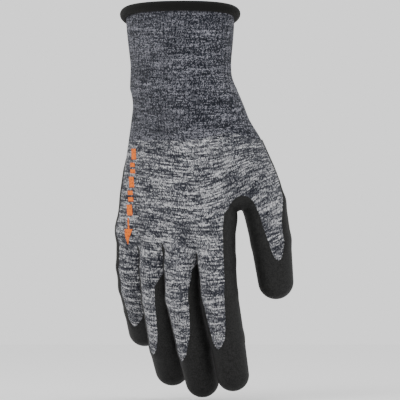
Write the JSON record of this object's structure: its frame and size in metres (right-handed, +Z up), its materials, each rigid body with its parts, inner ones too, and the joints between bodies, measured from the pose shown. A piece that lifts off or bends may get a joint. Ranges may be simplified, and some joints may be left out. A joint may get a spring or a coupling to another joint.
{
  "type": "work glove",
  "caption": "Right-hand knitted work glove with a dipped palm and fingertips, ribbed cuff and rolled hem, curled as on a relaxed hand.",
  "frame": {"origin": "centre of the cuff's mouth, where the forearm comes out", "axes": "+Z up the forearm, +X to the thumb side, +Y to the palm side; the back of the hand faces -Y and the fingers point down"},
  "size_m": [0.1096, 0.1111, 0.239],
  "materials": {
    "liner_knit": "heather grey and navy flat knit, matt",
    "cuff_knit": "darker heather rib knit, matt",
    "nitrile_coating": "black dipped coating, fine sandy matt grain",
    "hem_thread": "black overlocked thread",
    "elastic_thread": "covered elastic thread",
    "print": "orange transfer print, matt"
  },
  "bodies": {
    "cuff": {"cuff_sleeve": "cuff_knit", "cuff_hem": "hem_thread", "cuff_elastic_1": "elastic_thread", "cuff_elastic_2": "elastic_thread", "cuff_elastic_3": "elastic_thread", "cuff_elastic_4": "elastic_thread"},
    "hand": {"hand_knit": "liner_knit", "palm_coat": "nitrile_coating", "print_bar_1": "print", "print_bar_2": "print", "print_bar_3": "print", "print_bar_4": "print", "print_bar_5": "print", "print_bar_6": "print"},
    "knuckles": {"knuckle_knit": "liner_knit", "knuckle_coat": "nitrile_coating"},
    "index_proximal": {"index_proximal_knit": "liner_knit", "index_proximal_coat": "nitrile_coating"},
    "index_middle": {"index_middle_knit": "liner_knit", "index_middle_coat": "nitrile_coating"},
    "index_tip": {"index_tip_knit": "liner_knit", "index_tip_coat": "nitrile_coating"},
    "middle_proximal": {"middle_proximal_knit": "liner_knit", "middle_proximal_coat": "nitrile_coating"},
    "middle_middle": {"middle_middle_knit": "liner_knit", "middle_middle_coat": "nitrile_coating"},
    "middle_tip": {"middle_tip_knit": "liner_knit", "middle_tip_coat": "nitrile_coating"},
    "ring_proximal": {"ring_proximal_knit": "liner_knit", "ring_proximal_coat": "nitrile_coating"},
    "ring_middle": {"ring_middle_knit": "liner_knit", "ring_middle_coat": "nitrile_coating"},
    "ring_tip": {"ring_tip_knit": "liner_knit", "ring_tip_coat": "nitrile_coating"},
    "little_proximal": {"little_proximal_knit": "liner_knit", "little_proximal_coat": "nitrile_coating"},
    "little_middle": {"little_middle_knit": "liner_knit", "little_middle_coat": "nitrile_coating"},
    "little_tip": {"little_tip_knit": "liner_knit", "little_tip_coat": "nitrile_coating"},
    "thumb_base": {"thumb_base_knit": "liner_knit", "thumb_base_coat": "nitrile_coating"},
    "thumb_proximal": {"thumb_proximal_knit": "liner_knit", "thumb_proximal_coat": "nitrile_coating"},
    "thumb_tip": {"thumb_tip_knit": "liner_knit", "thumb_tip_coat": "nitrile_coating"}
  },
  "joints": [
    {"name": "wrist", "type": "hinge", "parent": "cuff", "child": "hand", "pos_m": [0.0006, 0, -0.045], "axis": [0.866, -0.5, 0], "range_deg": [-40, 55], "stiffness_Nm_per_rad": 0.12},
    {"name": "palm_fold", "type": "hinge", "parent": "hand", "child": "knuckles", "pos_m": [-0.0036, 0.007, -0.1257], "axis": [0.8089, -0.573, 0.1315], "range_deg": [-10, 40], "stiffness_Nm_per_rad": 0.1},
    {"name": "index_root", "type": "hinge", "parent": "knuckles", "child": "index_proximal", "pos_m": [0.0219, -0.0063, -0.1482], "axis": [0.8187, -0.5733, -0.0337], "range_deg": [-10, 30], "stiffness_Nm_per_rad": 0.05},
    {"name": "index_mid", "type": "hinge", "parent": "index_proximal", "child": "index_middle", "pos_m": [0.0234, -0.003, -0.168], "axis": [0.819, -0.5735, -0.0161], "range_deg": [-10, 62], "stiffness_Nm_per_rad": 0.03},
    {"name": "index_end", "type": "hinge", "parent": "index_middle", "child": "index_tip", "pos_m": [0.0282, 0.004, -0.1947], "axis": [0.8188, -0.5733, -0.0293], "range_deg": [-6, 37.2], "stiffness_Nm_per_rad": 0.02},
    {"name": "middle_root", "type": "hinge", "parent": "knuckles", "child": "middle_proximal", "pos_m": [0.0009, 0.0034, -0.1506], "axis": [0.82, -0.5531, -0.1474], "range_deg": [-10, 30], "stiffness_Nm_per_rad": 0.05},
    {"name": "middle_mid", "type": "hinge", "parent": "middle_proximal", "child": "middle_middle", "pos_m": [0.0018, 0.0076, -0.1704], "axis": [0.8284, -0.5588, -0.0397], "range_deg": [-10, 62], "stiffness_Nm_per_rad": 0.03},
    {"name": "middle_end", "type": "hinge", "parent": "middle_middle", "child": "middle_tip", "pos_m": [0.0087, 0.0185, -0.2004], "axis": [0.8283, -0.5587, -0.0409], "range_deg": [-6, 37.2], "stiffness_Nm_per_rad": 0.02},
    {"name": "ring_root", "type": "hinge", "parent": "knuckles", "child": "ring_proximal", "pos_m": [-0.0141, 0.0195, -0.1542], "axis": [0.8367, -0.5228, -0.1629], "range_deg": [-10, 30], "stiffness_Nm_per_rad": 0.05},
    {"name": "ring_mid", "type": "hinge", "parent": "ring_proximal", "child": "ring_middle", "pos_m": [-0.0123, 0.0255, -0.1716], "axis": [0.8424, -0.5264, -0.115], "range_deg": [-10, 62], "stiffness_Nm_per_rad": 0.03},
    {"name": "ring_end", "type": "hinge", "parent": "ring_middle", "child": "ring_tip", "pos_m": [-0.0078, 0.0395, -0.1996], "axis": [0.8412, -0.5256, -0.1272], "range_deg": [-6, 37.2], "stiffness_Nm_per_rad": 0.02},
    {"name": "little_root", "type": "hinge", "parent": "knuckles", "child": "little_proximal", "pos_m": [-0.0279, 0.036, -0.1518], "axis": [0.8465, -0.4692, -0.2516], "range_deg": [-10, 30], "stiffness_Nm_per_rad": 0.05},
    {"name": "little_mid", "type": "hinge", "parent": "little_proximal", "child": "little_middle", "pos_m": [-0.0264, 0.0445, -0.1638], "axis": [0.8337, -0.4621, -0.3024], "range_deg": [-10, 62], "stiffness_Nm_per_rad": 0.03},
    {"name": "little_end", "type": "hinge", "parent": "little_middle", "child": "little_tip", "pos_m": [-0.0234, 0.061, -0.1776], "axis": [0.8379, -0.4644, -0.2867], "range_deg": [-6, 37.2], "stiffness_Nm_per_rad": 0.02},
    {"name": "thumb_base", "type": "hinge", "parent": "hand", "child": "thumb_base", "pos_m": [0.0252, -0.005, -0.056], "axis": [0, 0, -1], "range_deg": [-25, 12], "stiffness_Nm_per_rad": 0.08},
    {"name": "thumb_root", "type": "hinge", "parent": "thumb_base", "child": "thumb_proximal", "pos_m": [0.0504, -0.0015, -0.114], "axis": [-0.8994, -0.2579, -0.3531], "range_deg": [-30, 8], "stiffness_Nm_per_rad": 0.05},
    {"name": "thumb_end", "type": "hinge", "parent": "thumb_proximal", "child": "thumb_tip", "pos_m": [0.0546, 0.002, -0.136], "axis": [-0.9419, -0.2701, -0.1997], "range_deg": [-50, 8], "stiffness_Nm_per_rad": 0.03}
  ],
  "couplings": [
    {"joint": "index_end", "follows": "index_mid", "ratio": 0.6},
    {"joint": "middle_end", "follows": "middle_mid", "ratio": 0.6},
    {"joint": "ring_end", "follows": "ring_mid", "ratio": 0.6},
    {"joint": "little_end", "follows": "little_mid", "ratio": 0.6}
  ]
}
